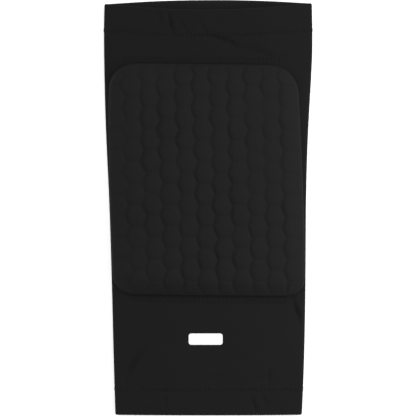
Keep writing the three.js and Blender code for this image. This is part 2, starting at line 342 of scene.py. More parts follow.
class StageSettings(bpy.types.PropertyGroup):
    """The floor, the light and the camera."""

    floor_color: color_setting("Floor Colour", "Colour of the floor", (0.93, 0.93, 0.93))
    floor_glow: FloatProperty(
        name="Floor Glow",
        description="Light of the floor itself, which keeps it pale beside the sleeve",
        default=0.36,
    )
    sky: FloatProperty(
        name="Sky",
        description="Strength of the even light from all round",
        default=0.35,
    )
    right_light: FloatProperty(
        name="Right Light",
        description="Power of the large soft light on the right",
        unit="POWER",
        default=9.0,
    )
    left_light: FloatProperty(
        name="Left Light",
        description="Power of the large soft light on the left",
        unit="POWER",
        default=5.15,
    )
    field: length_setting("Field", "Width of what the camera sees at the sleeve", 332.8)
    distance: FloatProperty(
        name="Distance",
        description="Height of the camera above the floor",
        unit="LENGTH",
        default=2.6,
    )


class KneeSleeveSettings(bpy.types.PropertyGroup):
    """All that a user would change."""

    knit: PointerProperty(type=KnitSettings)
    pad: PointerProperty(type=PadSettings)
    stitch: PointerProperty(type=StitchSettings)
    transfer: PointerProperty(type=TransferSettings)
    stage: PointerProperty(type=StageSettings)


# Meshes


def new_piece(bm, name, material):
    """An object at the origin with the bmesh as its mesh, shaded smooth."""
    mesh = bpy.data.meshes.new(name)
    bm.to_mesh(mesh)
    bm.free()
    mesh.shade_smooth()
    mesh.materials.append(material)
    piece = bpy.data.objects.new(name, mesh)
    bpy.context.scene.collection.objects.link(piece)
    return piece


def apply_modifiers(piece):
    """Puts what a piece's modifiers make into its mesh."""
    graph = bpy.context.evaluated_depsgraph_get()
    made = bpy.data.meshes.new_from_object(piece.evaluated_get(graph), depsgraph=graph)
    piece.modifiers.clear()
    plain = piece.data
    piece.data = made
    made.name = plain.name + "_made"
    bpy.data.meshes.remove(plain)


def subdivide(piece, levels):
    """Rounds a piece by subdivision and keeps the result."""
    modifier = piece.modifiers.new("round", "SUBSURF")
    modifier.levels = levels
    modifier.render_levels = levels
    apply_modifiers(piece)


def smooth_step(low, high, value):
    """0 at low, 1 at high, and smooth between them."""
    share = min(1.0, max(0.0, (value - low) / (high - low)))
    return share * share * (3 - 2 * share)


def islands(bm):
    """The groups of faces that hang together, in the order of their first faces."""
    seen = set()
    groups = []
    for first in bm.faces:
        if first in seen:
            continue
        seen.add(first)
        group = [first]
        for face in group:
            for edge in face.edges:
                near = [other for other in edge.link_faces if other not in seen]
                seen.update(near)
                group.extend(near)
        groups.append(group)
    return groups


def corners_of(faces):
    """The vertices of a group of faces, each once, in order."""
    return list(dict.fromkeys(vert for face in faces for vert in face.verts))


def surface_tree(piece):
    """A tree of a piece's faces, to set other pieces on it."""
    bm = bmesh.new()
    bm.from_mesh(piece.data)
    tree = BVHTree.FromBMesh(bm)
    bm.free()
    return tree


def seen_from(side, tree, x, y):
    """The place and the normal of a surface seen from above, 1, or below, -1, or of its side fold."""
    place, normal, _, _ = tree.ray_cast(Vector((x, y, side)), Vector((0, 0, -side)))
    if place is None:
        place, normal, _, _ = tree.find_nearest(Vector((x, y, SIDE_FOLD_HEIGHT / 2)))
    return place, normal


def verts_in(geometry):
    """The vertices in what a mesh operator made."""
    return [part for part in geometry if isinstance(part, bmesh.types.BMVert)]


def round_off(bm, geometry, offset, segments, affect):
    """Rounds edges or corners."""
    bmesh.ops.bevel(
        bm, geom=geometry, offset=offset, segments=segments, profile=0.5, affect=affect, material=-1
    )


# Materials


def node_group(name, inputs, outputs):
    """A shader node group with float sockets, its tree and its two end nodes."""
    group = bpy.data.node_groups.new(name, "ShaderNodeTree")
    for socket, kind, default in inputs:
        made = group.interface.new_socket(socket, in_out="INPUT", socket_type=kind)
        if default is not None:
            made.default_value = default
    for socket in outputs:
        group.interface.new_socket(socket, in_out="OUTPUT", socket_type="NodeSocketFloat")
    return group, group.nodes.new("NodeGroupInput"), group.nodes.new("NodeGroupOutput")


def math_node(tree, operation, first, second=None, third=None):
    """A Math node of the tree: each value is a socket or a number. Returns its output."""
    node = tree.nodes.new("ShaderNodeMath")
    node.operation = operation
    for slot, value in enumerate((first, second, third)):
        if isinstance(value, (int, float)):
            node.inputs[slot].default_value = value
        elif value is not None:
            tree.links.new(value, node.inputs[slot])
    return node.outputs[0]


def knit_group():
    """Loops of a knit on Object coordinates: columns along the leg, each of slanted loops. Its Shade is
    painted shade between the loops and painted light on top of them.

    The columns are counted across the leg and, where Round Sides is 1, on round the side folds.
    """
    group, start, end = node_group(
        "Knit Loops",
        (
            ("Vector", "NodeSocketVector", None),
            ("Wale Pitch", "NodeSocketFloat", 0.75 * MM),
            ("Course Pitch", "NodeSocketFloat", 0.6 * MM),
            ("Round Sides", "NodeSocketFloat", 1.0),
        ),
        ("Height", "Shade"),
    )
    split = group.nodes.new("ShaderNodeSeparateXYZ")
    group.links.new(start.outputs["Vector"], split.inputs[0])
    across = math_node(group, "ABSOLUTE", split.outputs["X"])
    down_side = math_node(group, "MULTIPLY", split.outputs["Z"], start.outputs["Round Sides"])
    across = math_node(group, "SUBTRACT", across, down_side)
    wale = math_node(group, "DIVIDE", across, start.outputs["Wale Pitch"])
    off_wale = math_node(group, "MULTIPLY", math_node(group, "PINGPONG", wale, 0.5), 2.0)
    course = math_node(group, "DIVIDE", split.outputs["Y"], start.outputs["Course Pitch"])
    slanted = math_node(group, "MULTIPLY_ADD", off_wale, LOOP_SLANT, course)
    loop = math_node(group, "SINE", math_node(group, "MULTIPLY", slanted, 2 * math.pi))
    loop = math_node(group, "MULTIPLY_ADD", loop, LOOP_DIP, 1 - LOOP_DIP)
    round_wale = math_node(group, "SUBTRACT", 1.0, math_node(group, "POWER", off_wale, 2.0))
    height = math_node(group, "MULTIPLY", round_wale, loop)
    group.links.new(height, end.inputs["Height"])
    # Painted shade between the loops, painted light on top of them.
    deep, more = LOOP_PAINTED_SHADES
    group.links.new(math_node(group, "MULTIPLY_ADD", height, more, deep), end.inputs["Shade"])
    return group


def noise_texture(tree, coordinates, scale, detail):
    """A noise texture of the tree. Returns its value."""
    node = tree.nodes.new("ShaderNodeTexNoise")
    node.inputs["Scale"].default_value = scale
    node.inputs["Detail"].default_value = detail
    tree.links.new(coordinates, node.inputs["Vector"])
    return node.outputs["Fac"]


def wear_and_painted_shade_group():
    """Soft patches and fine flecks in cloth, with painted shade that darkens it towards the thigh."""
    group, start, end = node_group(
        "Cloth Wear And Painted Shade",
        (
            ("Vector", "NodeSocketVector", None),
            ("Thigh Painted Shade", "NodeSocketFloat", 1.0),
        ),
        ("Shade", "Rough"),
    )
    patches = noise_texture(group, start.outputs["Vector"], *PATCHES)
    flecks = noise_texture(group, start.outputs["Vector"], *FLECKS)
    shade = math_node(group, "MULTIPLY_ADD", patches, PATCH_SHADE, 1 - PATCH_SHADE)
    shade = math_node(group, "MULTIPLY_ADD", flecks, PATCH_SHADE, shade)
    split = group.nodes.new("ShaderNodeSeparateXYZ")
    group.links.new(start.outputs["Vector"], split.inputs[0])
    # Painted shade: the colour darkens along the leg towards the thigh.
    painted_shade = group.nodes.new("ShaderNodeMapRange")
    painted_shade.interpolation_type = "SMOOTHSTEP"
    painted_shade.inputs["From Min"].default_value = PAINTED_SHADE_FROM
    painted_shade.inputs["From Max"].default_value = PAINTED_SHADE_TO
    painted_shade.inputs["To Min"].default_value = 1.0
    group.links.new(split.outputs["Y"], painted_shade.inputs["Value"])
    group.links.new(start.outputs["Thigh Painted Shade"], painted_shade.inputs["To Max"])
    shade = math_node(group, "MULTIPLY", shade, painted_shade.outputs["Result"])
    group.links.new(shade, end.inputs["Shade"])
    least, more = ROUGHNESS
    group.links.new(math_node(group, "MULTIPLY_ADD", patches, more, least), end.inputs["Rough"])
    return group


def shared_group(name, build):
    """The node group of that name, built the first time."""
    return bpy.data.node_groups.get(name) or build()


def placed_group(tree, group, coordinates):
    """A node that places a group in a material, fed with its coordinates."""
    node = tree.nodes.new("ShaderNodeGroup")
    node.node_tree = group
    tree.links.new(coordinates, node.inputs["Vector"])
    return node


def knit_based(name):
    """A new material with the knit's loops, the group of wear and painted shade, and the wear's roughness.

    Returns it with its tree, its shader and the nodes of the two groups.
    """
    material = bpy.data.materials.new(name)
    material.use_nodes = True
    tree = material.node_tree
    shader = tree.nodes["Principled BSDF"]
    coordinates = tree.nodes.new("ShaderNodeTexCoord").outputs["Object"]
    knit = placed_group(tree, shared_group("Knit Loops", knit_group), coordinates)
    wear_and_shade = placed_group(tree, shared_group("Cloth Wear And Painted Shade", wear_and_painted_shade_group), coordinates)
    tree.links.new(wear_and_shade.outputs["Rough"], shader.inputs["Roughness"])
    return material, tree, shader, knit, wear_and_shade


def shade_color(tree, shader, color, shade, share):
    """Multiplies a material's colour by a shade, as far as the share says."""
    tint = tree.nodes.new("ShaderNodeMix")
    tint.data_type = "RGBA"
    tint.blend_type = "MULTIPLY"
    tint.inputs["Factor"].default_value = share
    tint.inputs["A"].default_value = (*color, 1)
    tree.links.new(shade, tint.inputs["B"])
    tree.links.new(tint.outputs["Result"], shader.inputs["Base Color"])


def raise_loops(tree, shader, knit, strength, height):
    """Gives a material the relief of the knit's loops."""
    relief = tree.nodes.new("ShaderNodeBump")
    relief.inputs["Strength"].default_value = strength
    relief.inputs["Distance"].default_value = height
    tree.links.new(knit.outputs["Height"], relief.inputs["Height"])
    tree.links.new(relief.outputs["Normal"], shader.inputs["Normal"])


def cloth_material(name, color, relief, wale_pitch, course_pitch, round_sides=1.0, thigh_painted_shade=1.0):
    """Matt knit: loops in relief, with soft patches and flecks in its colour, painted shade between the
    loops and towards the thigh, and painted light on the tube's inner wall.
    """
    material, tree, shader, knit, wear_and_shade = knit_based(name)
    weight, roughness = CLOTH_SHEEN
    shader.inputs["Specular IOR Level"].default_value = CLOTH_SHINE
    shader.inputs["Sheen Weight"].default_value = weight
    shader.inputs["Sheen Roughness"].default_value = roughness
    knit.inputs["Wale Pitch"].default_value = wale_pitch
    knit.inputs["Course Pitch"].default_value = course_pitch
    knit.inputs["Round Sides"].default_value = round_sides
    # Painted shade towards the thigh.
    wear_and_shade.inputs["Thigh Painted Shade"].default_value = thigh_painted_shade
    shade = math_node(tree, "MULTIPLY", knit.outputs["Shade"], wear_and_shade.outputs["Shade"])
    # Painted light: the inner wall is made lighter, to lift the shade inside the tube.
    inner_painted_light = tree.nodes.new("ShaderNodeAttribute")
    inner_painted_light.attribute_name = "inner_painted_light"
    painted_light = math_node(tree, "MULTIPLY_ADD", inner_painted_light.outputs["Fac"], INNER_PAINTED_LIGHT, 1.0)
    shade = math_node(tree, "MULTIPLY", shade, painted_light)
    shade_color(tree, shader, color, shade, 1.0)
    raise_loops(tree, shader, knit, relief, LOOP_HEIGHT)
    return material


def transfer_material(color):
    """Matt white transfer through which the knit shows faintly."""
    material, tree, shader, knit, wear_and_shade = knit_based("transfer_white")
    shade_color(tree, shader, color, wear_and_shade.outputs["Shade"], TRANSFER_WEAR)
    raise_loops(tree, shader, knit, TRANSFER_RELIEF, TRANSFER_LOOP_HEIGHT)
    return material


# Knitted tube


def open_tube(node):
    """A merged copy of a tube's solid as quads, without the strips at its two rims.

    Returns it with the faces of its outer and of its inner wall. The inner wall, the reverse of the knit,
    is marked for the painted light that lifts the shade inside the tube.
    """
    bm = bmesh.new()
    bm.from_mesh(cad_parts[node].data)
    inner_painted_light = bm.verts.layers.float.new("inner_painted_light")
    bmesh.ops.remove_doubles(bm, verts=bm.verts, dist=WELD)
    diagonals = [
        edge
        for edge in bm.edges
        if all(edge == max(face.edges, key=lambda side: side.calc_length()) for face in edge.link_faces)
    ]
    bmesh.ops.dissolve_edges(bm, edges=diagonals, use_verts=False)
    rims = [face for face in bm.faces if abs(face.normal.y) > RIM_FACING]
    bmesh.ops.delete(bm, geom=rims, context="FACES_ONLY")
    walls = islands(bm)
    if len(walls) != 2:
        raise RuntimeError(f"the tube has {len(walls)} walls, and it should have 2")
    walls.sort(key=lambda wall: -max(vert.co.x for vert in corners_of(wall)))
    for vert in corners_of(walls[1]):
        vert[inner_painted_light] = 1
    return bm, *walls


def thicken_hem(bm, wall, end, side, knit):
    """Moves the part of the inner wall that is turned in at an end, by the hem's thickness."""
    edge = end - side * knit.hem_depth
    for place in (edge, edge + side * HEM_STEP):
        sides = list(dict.fromkeys(line for face in wall for line in face.edges))
        bmesh.ops.bisect_plane(
            bm,
            geom=corners_of(wall) + sides + wall,
            dist=5 * WELD,
            plane_co=(0, place, 0),
            plane_no=(0, 1, 0),
        )
        wall = next(group for group in islands(bm) if wall[0] in group)
    bm.normal_update()
    beyond = edge + side * HEM_FROM
    shifts = {}
    for vert in corners_of(wall):
        if (vert.co.y - beyond) * side > 0:
            normal = sum((face.normal for face in vert.link_faces), Vector())
            shifts[vert] = normal.normalized() * knit.hem_thickness
    for vert, shift in shifts.items():
        vert.co += shift
    return wall


def close_rim(bm, side):
    """Joins the outer and the inner wall at an end by a round fold."""
    open_edges = [edge for edge in bm.edges if edge.is_boundary and edge.verts[0].co.y * side > 0]
    strip = bmesh.ops.bridge_loops(bm, edges=open_edges)["faces"]
    bends = [edge for face in strip for edge in face.edges if set(edge.link_faces) - set(strip)]
    round_off(bm, bends, RIM_ROUNDING, 2, "EDGES")


def fold_height(x, y):
    """What the folds of the front add to its height at a place: valleys with ridges beside them."""
    height = 0
    for fold_x, fold_y, angle, length, spread, depth, ridge in FRONT_FOLDS:
        turn = math.radians(angle)
        from_x = x / MM - fold_x
        from_y = y / MM - fold_y
        along = (from_x * math.cos(turn) + from_y * math.sin(turn)) / length
        across = (from_y * math.cos(turn) - from_x * math.sin(turn)) / spread
        if abs(along) < 0.5:
            fade = math.cos(math.pi * along) ** 2
            valley = depth * math.exp(-(across**2))
            beside = ridge * math.exp(-(((across - RIDGE_OFF) / RIDGE_SPREAD) ** 2))
            height += fade * (beside - valley)
    return height * MM


def stitch_rows(settings):
    """The rows of stitches, by the names of their pieces.

    A row of the front goes through its middle and y, tilts by a slope, bends by what its middle is
    off the line of its ends, and reaches that far to both sides.
    """
    knit = settings.knit
    pad = settings.pad
    half = pad.length / 2 + settings.stitch.pad_distance
    beside_pad = pad.width / 2 - pad.top_corner + PAD_ROW_PAST
    thigh = THIGH_RIM - knit.hem_depth
    calf = CALF_END + knit.hem_depth
    rows = {
        "thigh_hem_stitches": StitchRow(thigh, 0, THIGH_ROW_REACH, THIGH_ROW_BEND, 0, True),
        "calf_hem_stitches": StitchRow(calf, CALF_ROW_MIDDLE, CALF_ROW_REACH, 0, 0, True),
    }
    for name, side in (("pad_top_stitches", 1), ("pad_bottom_stitches", -1)):
        x, y = on_pad(pad, 0, side * half)
        rows[name] = StitchRow(y, x, beside_pad, 0, -math.tan(pad.droop), False)
    return rows


def row_line(row, x):
    """Where a row of the front runs at x."""
    return row.y + row.bend * (1 - (x / HALF_WIDTH) ** 2) + row.tilt * (x - row.middle)


def gather_height(x, y, rows, knit):
    """Small gathers beside the rows of stitches, and the dent that each row presses in."""
    height = 0
    for row in rows:
        away = y - row_line(row, x)
        if abs(away) > GATHER_REACH:
            continue
        inside = 1 - smooth_step(row.reach, row.reach + GATHER_FADE, abs(x - row.middle))
        wave = noise.noise(Vector((x / GATHER_PITCH, row.y / MM, 0)))
        height += inside * knit.pucker * wave * math.exp(-((away / GATHER_SPREAD) ** 2))
        height -= inside * knit.stitch_dent * math.exp(-((away / DENT_SPREAD) ** 2))
    return height


def refine_front(piece):
    """Gives back the width that rounding took, and halves the faces of the front for its folds.

    The thigh rim also rises a little to the right.
    """
    bm = bmesh.new()
    bm.from_mesh(piece.data)
    reach = max(vert.co.x for vert in bm.verts)
    for vert in bm.verts:
        right = max(0, vert.co.x / HALF_WIDTH)
        near_rim = smooth_step(THIGH_RIM - RIM_TILT_LENGTH, THIGH_RIM, vert.co.y)
        vert.co.y += RIM_TILT * right * near_rim
    bmesh.ops.scale(bm, vec=(HALF_WIDTH / reach, 1, 1), verts=bm.verts)
    bm.normal_update()
    front = [
        face
        for face in bm.faces
        if face.normal.z > FRONT_FACING and face.calc_center_median().z > FRONT_LEAST
    ]
    sides = list(dict.fromkeys(edge for face in front for edge in face.edges))
    bmesh.ops.subdivide_edges(bm, edges=sides, cuts=1, use_grid_fill=True)
    bm.to_mesh(piece.data)
    bm.free()
    piece.data.shade_smooth()


def dress_front(piece, knit, rows):
    """Gives the front of the tube its folds, gathers and soft waves, through both its walls."""
    start, whole = (share * SIDE_FOLD_HEIGHT for share in FRONT_SHARES)
    for vert in piece.data.vertices:
        x, y, z = vert.co
        front = smooth_step(start, whole, z)
        if front == 0:
            continue
        waves = noise.noise(Vector((x * WAVES[0], y * WAVES[1], WAVE_LAYER))) * knit.unevenness
        vert.co.z += front * (waves + fold_height(x, y) + gather_height(x, y, rows, knit))
        slack = smooth_step(THIGH_RIM - MOUTH_LENGTH, THIGH_RIM, y) * (1 - (x / HALF_WIDTH) ** 2)
        vert.co.y -= front * knit.mouth_dip * slack
        vert.co.z -= front * knit.mouth_sag * slack


class KNEE_SLEEVE_OT_tube(bpy.types.Operator):
    """Build the knitted tube with its turned-in hems."""

    bl_idname = "knee_sleeve.tube"
    bl_label = "Knitted Tube"

    def execute(self, context):
        knit = context.scene.knee_sleeve.knit
        material = cloth_material(
            "knit_black",
            knit.color,
            KNIT_RELIEF,
            knit.wale_pitch,
            knit.course_pitch,
            thigh_painted_shade=knit.thigh_painted_shade,
        )
        bm, _, inner = open_tube("sleeve")
        inner = thicken_hem(bm, inner, THIGH_RIM, 1, knit)
        thicken_hem(bm, inner, CALF_END, -1, knit)
        for side in (1, -1):
            close_rim(bm, side)
        bmesh.ops.recalc_face_normals(bm, faces=bm.faces)
        piece = new_piece(bm, "sleeve_knit", material)
        subdivide(piece, 2)
        refine_front(piece)
        dress_front(piece, knit, stitch_rows(context.scene.knee_sleeve).values())
        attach(piece, "root")
        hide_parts("sleeve", "thigh_hem", "calf_hem")
        return {"FINISHED"}


# Foam pad


def on_pad(pad, x, y):
    """A point of the pad's own plane, laid on the sleeve and pulled askew with its cloth."""
    askew = Vector((x - y * math.tan(pad.lean), y - x * math.tan(pad.droop)))
    return askew + Vector(pad.middle)


def pad_outline(pad):
    """The pad's outline in its own plane as points anticlockwise."""
    half_width = pad.width / 2
    half_length = pad.length / 2
    points = []
    for quarter in range(4):
        side_x = 1 if quarter in (0, 3) else -1
        side_y = 1 if quarter in (0, 1) else -1
        corner = pad.top_corner if side_y > 0 else pad.bottom_corner
        middle = Vector((side_x * (half_width - corner), side_y * (half_length - corner)))
        if quarter in (0, 2):
            points += [Vector((side_x * half_width, side_y * y)) for y in OUTLINE_POINTS]
        for step in range(CORNER_STEPS + 1):
            angle = (quarter + step / CORNER_STEPS) * math.pi / 2
            points.append(middle + corner * Vector((math.cos(angle), math.sin(angle))))
    for point in points:
        across = (point.x / half_width) ** 2
        along = point.y / half_length
        point.x *= 1 + pad.bow / half_width * (1 - along**2) - pad.taper / pad.width * along
        point.y *= 1 - pad.end_bow / half_length * across
    return points


def honeycomb(pad):
    """Flat six-sided cells in the pad's own plane, joined along their sides.

    The cells of the two outer columns run out straight past the pad's edge.
    """
    radius = pad.column_pitch * 2 / 3
    columns = int(pad.width / pad.column_pitch / 2)
    rows = math.ceil(pad.length / pad.row_pitch / 2) + 1
    bm = bmesh.new()
    upright = Matrix.Rotation(math.radians(30), 4, "Z")
    bmesh.ops.create_circle(bm, cap_ends=True, segments=6, radius=radius, matrix=upright)
    stretch = pad.row_pitch / (radius * math.sqrt(3))
    bmesh.ops.scale(bm, vec=(1, stretch, 1), verts=bm.verts)
    first = bm.verts[:]
    cell = first + bm.edges[:] + bm.faces[:]
    for column in range(-columns, columns + 1):
        shift = 0.5 if column % 2 == 0 else 0
        for row in range(-rows, rows + 1):
            copy = bmesh.ops.duplicate(bm, geom=cell)["geom"]
            place = (column * pad.column_pitch, (row + shift) * pad.row_pitch, 0)
            bmesh.ops.translate(bm, vec=place, verts=verts_in(copy))
    bmesh.ops.delete(bm, geom=first, context="VERTS")
    bmesh.ops.remove_doubles(bm, verts=bm.verts, dist=radius / 50)
    for vert in bm.verts:
        groove = (math.floor(vert.co.x / pad.column_pitch) + 0.5) * pad.column_pitch
        if abs(vert.co.x) > columns * pad.column_pitch:
            vert.co.x = math.copysign(pad.width, vert.co.x)
        else:
            vert.co.x = groove + (vert.co.x - groove) * pad.swing
        at = vert.co * STRAY_SCALE
        stray = Vector([noise.noise(at + Vector((0, 0, layer))) for layer in STRAY_LAYERS])
        vert.co.xy += stray * pad.cell_stray
    turn = Matrix.Rotation(pad.cell_turn, 3, "Z")
    bmesh.ops.rotate(bm, verts=bm.verts, cent=(0, 0, 0), matrix=turn)
    bmesh.ops.translate(bm, vec=(*pad.cell_shift, 0), verts=bm.verts)
    return bm


def trim(bm, outline):
    """Cuts a flat sheet to an outline with no hollow sides, and joins its scraps to their cells."""
    for start, end in zip(outline, outline[1:] + outline[:1]):
        run = end - start
        bmesh.ops.bisect_plane(
            bm,
            geom=bm.verts[:] + bm.edges[:] + bm.faces[:],
            dist=0.1 * WELD,
            plane_co=(*start, 0),
            plane_no=(run.y, -run.x, 0),
            clear_outer=True,
        )
    edge = [vert for vert in bm.verts if vert.is_boundary]
    bmesh.ops.remove_doubles(bm, verts=edge, dist=EDGE_WELD)
    scraps = sorted(bm.faces, key=lambda face: face.calc_area())
    for face in scraps:
        if not face.is_valid or face.calc_area() > SCRAP_AREA:
            continue
        shared = [side for side in face.edges if not side.is_boundary]
        flattest = min(shared, key=lambda side: abs(side.verts[0].co.y - side.verts[1].co.y))
        bmesh.ops.dissolve_edges(bm, edges=[flattest], use_verts=False)
    bends = [vert for vert in bm.verts if not vert.is_boundary and len(vert.link_edges) == 2]
    bmesh.ops.dissolve_verts(bm, verts=bends)
    edge = [vert for vert in bm.verts if vert.is_boundary]
    ends = [vert for vert in edge if len(vert.link_edges) > 2]
    for end in ends:
        groove = next(line for line in end.link_edges if not line.is_boundary)
        bend = groove.other_vert(end)
        run = bend.co - end.co
        if run.length < END_ROOM:
            bend.co = end.co + run.normalized() * END_ROOM
    crowded = []
    for vert in edge:
        room = min((vert.co - end.co).length for end in ends)
        straight = vert.calc_edge_angle(0) < STRAIGHT_TURN
        if len(vert.link_edges) == 2 and room < (END_ROOM if straight else LEAST_ROOM):
            crowded.append(vert)
    bmesh.ops.dissolve_verts(bm, verts=crowded)


def place_key(vert):
    """A vertex's place in the plane to a hundredth of a millimetre."""
    return round(vert.co.x / WELD), round(vert.co.y / WELD)


def groove_share(point, pad):
    """How deep the groove is at a place: deepest left of the middle, fainter at the sides, uneven."""
    deep = smooth_step(*GROOVE_FADE, abs(point.x / pad.width - GROOVE_DEEPEST))
    uneven = noise.noise(Vector((point.x * GROOVE_SCALE, point.y * GROOVE_SCALE, GROOVE_LAYER)))
    return GROOVE_LEAST + GROOVE_MORE * deep + GROOVE_UNEVEN * uneven


def raise_cells(bm, cells, pad):
    """Turns flat cells into foam cells: deep grooves between the columns, and necks that join the
    cells of a column.
    """
    between = [
        edge
        for edge in bm.edges
        if len(edge.link_faces) == 2 and all(face in cells for face in edge.link_faces)
    ]
    necks = [
        edge
        for edge in between
        if abs(edge.verts[0].co.y - edge.verts[1].co.y) < NECK_SLOPE * edge.calc_length()
    ]
    grooves = [edge for edge in between if edge not in necks]
    split = bmesh.ops.bisect_edges(bm, edges=necks, cuts=2)["geom_split"]
    middles = verts_in(split)
    for middle in middles:
        beside = [edge.other_vert(middle) for edge in middle.link_edges]
        corner = next(vert for vert in beside if vert not in middles)
        middle.co = corner.co.lerp(middle.co, NECK_SHARE)
    neck_places = {place_key(middle) for middle in middles}
    bmesh.ops.bisect_edges(bm, edges=grooves, cuts=1)
    bmesh.ops.inset_individual(bm, faces=cells, thickness=pad.groove_width / 2)
    rims = set(corners_of(cells))
    slack = (pad.groove_width - pad.neck_width) / 2
    zigzag = pad.swing * pad.column_pitch / 3 / (pad.row_pitch / 2)
    neck_middles = set()
    feet = set()
    for rim in rims:
        beside = [edge.other_vert(rim) for edge in rim.link_edges]
        foot = next(vert for vert in beside if vert not in rims)
        feet.add(foot)
        away = rim.co - foot.co
        rim.co.z += pad.cell_rise
        if place_key(foot) in neck_places:
            neck_middles.add(foot)
            rim.co.y -= math.copysign(slack, away.y)
        elif abs(away.y) > abs(away.x):
            rim.co.y -= math.copysign(slack, away.y)
            rim.co.x += math.copysign(slack * zigzag, away.x)
    for foot in feet:
        if foot in neck_middles:
            foot.co.z += pad.cell_rise - pad.neck_drop
        else:
            foot.co.z += pad.cell_rise * (1 - groove_share(foot.co, pad))
    for share, upward in CELL_CROWN:
        cells = bmesh.ops.extrude_discrete_faces(bm, faces=cells)["faces"]
        for cell in cells:
            middle = cell.calc_center_median()
            bmesh.ops.scale(
                bm, vec=(share, share, 1), space=Matrix.Translation(-middle), verts=cell.verts
            )
            bmesh.ops.translate(bm, vec=(0, 0, upward), verts=cell.verts)


def roll_edge(bm, cells):
    """Sets rings in from the edge of a flat sheet of cells, each lower than the one inside it."""
    fall = sum(down for _, down in EDGE_ROLL)
    for inward, down in reversed(EDGE_ROLL):
        ring = bmesh.ops.inset_region(
            bm, faces=cells, use_boundary=True, use_even_offset=True, thickness=inward
        )["faces"]
        outer = set(corners_of(ring)) - set(corners_of(cells))
        bmesh.ops.translate(bm, vec=(0, 0, -fall), verts=list(outer))
        fall -= down


def hold_grooves(bm, pad):
    """Weights that hold all of the pad in the simulation but the tops of its cells."""
    weights = bm.verts.layers.deform.verify()
    for vert in bm.verts:
        on_top = vert.co.z > pad.groove_height + FREE_ABOVE * pad.cell_rise
        vert[weights][0] = 0 if on_top else 1


def swell(piece, held, pad):
    """Swells the cover between its grooves by a cloth simulation, and keeps the result."""
    before = [vert.co.copy() for vert in piece.data.vertices]
    cloth = piece.modifiers.new("swell", "CLOTH")
    cloth.settings.quality = SWELL_STEPS
    cloth.settings.mass = SWELL_MASS
    cloth.settings.tension_stiffness = COVER_STIFFNESS
    cloth.settings.compression_stiffness = COVER_STIFFNESS
    cloth.settings.bending_stiffness = COVER_BENDING
    cloth.settings.use_pressure = True
    cloth.settings.uniform_pressure_force = pad.pressure
    cloth.settings.effector_weights.gravity = 0
    cloth.settings.vertex_group_mass = held
    cloth.collision_settings.use_collision = False
    cloth.point_cache.frame_end = SWELL_FRAMES
    for step in range(1, SWELL_FRAMES + 1):
        bpy.context.scene.frame_set(step)
    apply_modifiers(piece)
    bpy.context.scene.frame_set(1)
    for vert, start in zip(piece.data.vertices, before):
        move = vert.co - start
        if move.length > pad.most_swell:
            vert.co = start + move.normalized() * pad.most_swell


def thin_edge(piece, pad):
    """Makes the pad thinner towards its sides, and more so towards its two ends."""
    corner = (pad.top_corner + pad.bottom_corner) / 2
    for vert in piece.data.vertices:
        past_x = abs(vert.co.x) - pad.width / 2 + corner
        past_y = abs(vert.co.y) - pad.length / 2 + corner
        if past_x > 0 and past_y > 0:
            from_edge = corner - math.hypot(past_x, past_y)
        else:
            from_edge = corner - max(past_x, past_y)
        at_end = smooth_step(-corner, corner, past_y - past_x)
        thinning = pad.edge_thinning + (pad.end_thinning - pad.edge_thinning) * at_end
        vert.co.z *= 1 - thinning * (1 - smooth_step(0, pad.edge_slope, from_edge))


def lay_on_sleeve(piece, tree, place):
    """Lifts each point of a piece that is flat on the plane by the height of the sleeve there."""
    for vert in piece.data.vertices:
        x, y = place(vert.co)
        under, _ = seen_from(1, tree, x, y)
        vert.co = (x, y, under.z + vert.co.z)


class KNEE_SLEEVE_OT_pad(bpy.types.Operator):
    """Build the honeycomb pad with its swollen cover."""

    bl_idname = "knee_sleeve.pad"
    bl_label = "Honeycomb Pad"

    def execute(self, context):
        pad = context.scene.knee_sleeve.pad
        knit = context.scene.knee_sleeve.knit
        material = cloth_material(
            "pad_cover",
            pad.color,
            COVER_RELIEF,
            COVER_STRETCH * knit.wale_pitch,
            COVER_STRETCH * knit.course_pitch,
            round_sides=0.0,
        )
        bm = honeycomb(pad)
        trim(bm, pad_outline(pad))
        cells = bm.faces[:]
        underside = bmesh.ops.duplicate(bm, geom=bm.verts[:] + bm.edges[:] + cells)["geom"]
        bottom = verts_in(underside)
        bmesh.ops.translate(bm, vec=(0, 0, PAD_LIFT - pad.groove_height), verts=bottom)
        tuck = 1 - 2 * pad.tuck / pad.width
        bmesh.ops.scale(bm, vec=(tuck, tuck, 1), verts=bottom)
        roll_edge(bm, cells)
        raise_cells(bm, cells, pad)
        bmesh.ops.translate(bm, vec=(0, 0, pad.groove_height), verts=bm.verts)
        bmesh.ops.bridge_loops(bm, edges=[edge for edge in bm.edges if edge.is_boundary])
        bmesh.ops.recalc_face_normals(bm, faces=bm.faces)
        hold_grooves(bm, pad)
        piece = new_piece(bm, "knee_pad_cover", material)
        held = piece.vertex_groups.new(name="held").name
        subdivide(piece, 1)
        swell(piece, held, pad)
        piece.vertex_groups.clear()
        subdivide(piece, 1)
        thin_edge(piece, pad)
        tree = surface_tree(bpy.data.objects["sleeve_knit"])
        lay_on_sleeve(piece, tree, lambda point: on_pad(pad, point.x, point.y))
        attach(piece, "root")
        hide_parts("knee_pad")
        return {"FINISHED"}


# Stitches


def new_stitch(bm, stitch):
    """One stitch in the plane: a short thread along Y that dips into the cloth at both ends."""
    radius = stitch.thread / 2
    bmesh.ops.create_cone(
        bm, cap_ends=True, segments=6, radius1=radius, radius2=radius, depth=stitch.length
    )
    runs = [edge for edge in bm.edges if edge.calc_length() > stitch.length / 2]
    bmesh.ops.subdivide_edges(bm, edges=runs, cuts=3)
    to_row = Matrix.Rotation(math.radians(90), 3, "X")
    bmesh.ops.rotate(bm, verts=bm.verts, cent=(0, 0, 0), matrix=to_row)
    for vert in bm.verts:
        share = (2 * vert.co.y / stitch.length) ** 4
        vert.co.x *= 1 - STITCH_NARROWING * share
        lift = stitch.thread * (STITCH_LIFT - STITCH_DIP * share)
        vert.co.z = vert.co.z * STITCH_FLATTENING + lift


